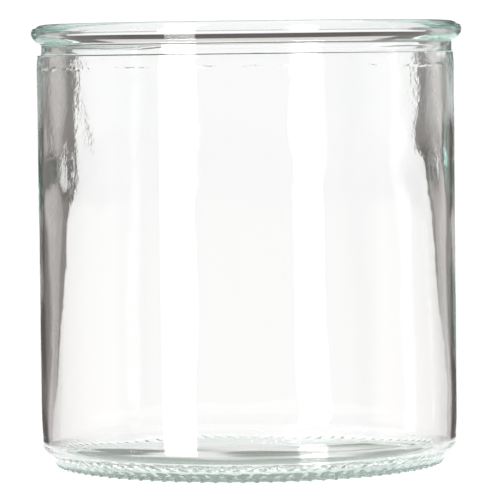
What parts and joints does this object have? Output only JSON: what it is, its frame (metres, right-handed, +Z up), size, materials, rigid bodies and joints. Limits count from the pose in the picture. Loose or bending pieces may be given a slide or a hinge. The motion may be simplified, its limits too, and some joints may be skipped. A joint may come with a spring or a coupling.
{
  "type": "glass candle jar",
  "caption": "Empty clear glass candle jar with straight walls, a rolled bead round the open mouth, a thin flat base and a knurled foot ring.",
  "frame": {"origin": "centre of the foot, on the plane the jar stands on", "axes": "+Z up along the jar's axis, towards the mouth; the jar is round, so +X and +Y are free"},
  "size_m": [0.083, 0.083, 0.085],
  "materials": {
    "clear_glass": "fire-polished clear soda-lime glass with a faint green tint, glossy inside and out"
  },
  "bodies": {
    "root": {"glass_jar": "clear_glass"}
  },
  "joints": []
}
